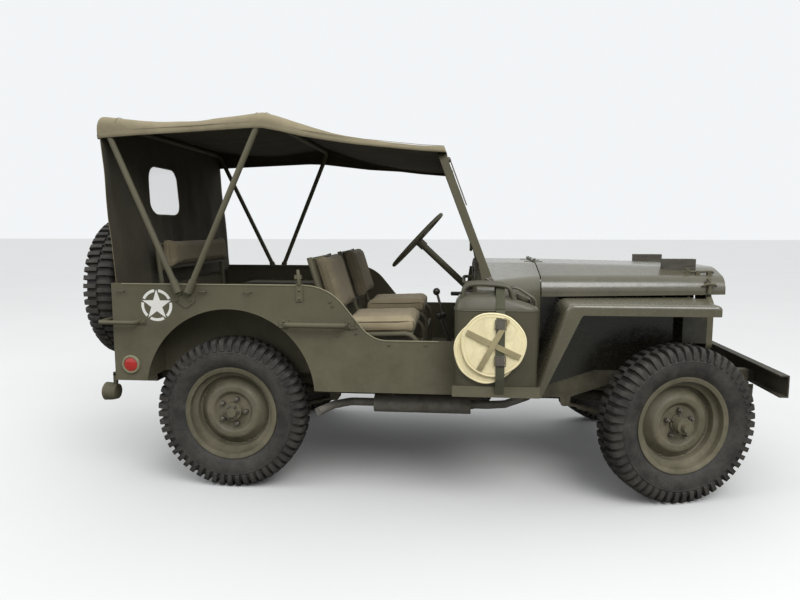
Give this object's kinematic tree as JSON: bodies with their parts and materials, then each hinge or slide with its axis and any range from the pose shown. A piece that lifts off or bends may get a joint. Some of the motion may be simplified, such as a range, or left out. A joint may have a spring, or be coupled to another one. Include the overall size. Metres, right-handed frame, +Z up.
{
  "type": "army 4x4 car",
  "caption": "Small open army field car with flat hood, slotted grille, folding windshield, canvas top on bows, tub body, rear spare wheel, fuel can and steered front wheels.",
  "frame": {"origin": "middle of the bounding box at floor height", "axes": "+X forward, +Y to the car's left, +Z up"},
  "size_m": [3.2436, 1.8823, 1.7475],
  "materials": {
    "olive_paint": "satin",
    "frame_paint": "satin",
    "tyre_rubber": "matt",
    "bare_steel": "satin",
    "rusty_steel": "rough",
    "canvas_khaki": "woven",
    "seat_cloth": "woven",
    "bucket_cloth": "woven",
    "pane_glass": "clear",
    "lamp_glass": "fluted",
    "lamp_red": "gloss",
    "dark_wood": "oiled"
  },
  "bodies": {
    "chassis": {"frame_rails": "frame_paint", "frame_crossmembers": "frame_paint", "front_bumper": "olive_paint", "rear_bumperettes": "olive_paint", "skid_plate": "frame_paint", "leaf_springs": "frame_paint", "front_axle": "frame_paint", "rear_axle": "frame_paint", "engine": "frame_paint", "drivetrain": "frame_paint", "exhaust": "rusty_steel", "body_side_right": "olive_paint", "body_side_left": "olive_paint", "rear_panel": "olive_paint", "floor": "olive_paint", "wheelhouses": "olive_paint", "cowl": "olive_paint", "dash_panel": "olive_paint", "grille": "olive_paint", "radiator": "frame_paint", "headlamps": "lamp_glass", "fender_left": "olive_paint", "fender_right": "olive_paint", "windshield_frame": "olive_paint", "windshield_glass": "pane_glass", "top_bows": "olive_paint", "bow_sockets": "olive_paint", "canvas_top": "canvas_khaki", "canvas_rear": "canvas_khaki", "seat_frames": "olive_paint", "seat_pads": "seat_cloth", "steering_column": "olive_paint", "gear_lever": "bare_steel", "grab_handles": "olive_paint", "spare_tyre": "tyre_rubber", "spare_rim": "olive_paint", "rear_lamps": "lamp_red", "mirror": "olive_paint", "jerrycan": "olive_paint", "jerrycan_tray": "olive_paint", "canvas_bucket": "bucket_cloth"},
    "hood_lid": {"hood": "olive_paint", "hood_blocks": "dark_wood"},
    "left_knuckle": {"knuckle_left": "frame_paint"},
    "right_knuckle": {"knuckle_right": "frame_paint"},
    "track_rod": {"tie_rod": "frame_paint"},
    "driver_wheel": {"steering_wheel": "olive_paint"},
    "front_left_wheel": {"tyre_front_left": "tyre_rubber", "wheel_front_left": "olive_paint"},
    "front_right_wheel": {"tyre_front_right": "tyre_rubber", "wheel_front_right": "olive_paint"},
    "rear_left_wheel": {"tyre_rear_left": "tyre_rubber", "wheel_rear_left": "olive_paint"},
    "rear_right_wheel": {"tyre_rear_right": "tyre_rubber", "wheel_rear_right": "olive_paint"}
  },
  "joints": [
    {"name": "steer_left", "type": "hinge", "parent": "chassis", "child": "left_knuckle", "pos_m": [1.152, 0.53, 0.359], "axis": [0, 0, 1], "range_deg": [-41, 9]},
    {"name": "steer_right", "type": "hinge", "parent": "chassis", "child": "right_knuckle", "pos_m": [1.152, -0.53, 0.359], "axis": [0, 0, 1], "range_deg": [-41, 9]},
    {"name": "track_rod_slide", "type": "slide", "parent": "chassis", "child": "track_rod", "axis": [0, 1, 0], "range_m": [-0.104, 0.023]},
    {"name": "steering_wheel_turn", "type": "hinge", "parent": "chassis", "child": "driver_wheel", "pos_m": [-0.066, 0.35, 1.159], "axis": [-0.7314, 0, 0.682], "range_deg": [-534, 118]},
    {"name": "hood_hinge", "type": "hinge", "parent": "chassis", "child": "hood_lid", "pos_m": [0.5755, 0, 1.0665], "axis": [0, -1, 0], "range_deg": [0, 110]},
    {"name": "front_left_spin", "type": "hinge", "parent": "left_knuckle", "child": "front_left_wheel", "pos_m": [1.1272, 0.6165, 0.359], "axis": [-0.2756, 0.9613, 0], "continuous": true},
    {"name": "front_right_spin", "type": "hinge", "parent": "right_knuckle", "child": "front_right_wheel", "pos_m": [1.1768, -0.6165, 0.359], "axis": [-0.2756, 0.9613, 0], "continuous": true},
    {"name": "rear_left_spin", "type": "hinge", "parent": "chassis", "child": "rear_left_wheel", "pos_m": [-0.88, 0.62, 0.359], "axis": [0, 1, 0], "continuous": true},
    {"name": "rear_right_spin", "type": "hinge", "parent": "chassis", "child": "rear_right_wheel", "pos_m": [-0.88, -0.62, 0.359], "axis": [0, 1, 0], "continuous": true}
  ],
  "couplings": [
    {"joint": "steer_right", "follows": "steer_left", "ratio": 1},
    {"joint": "track_rod_slide", "follows": "steer_left", "m_per_rad": 0.144},
    {"joint": "steering_wheel_turn", "follows": "steer_left", "ratio": 13}
  ]
}
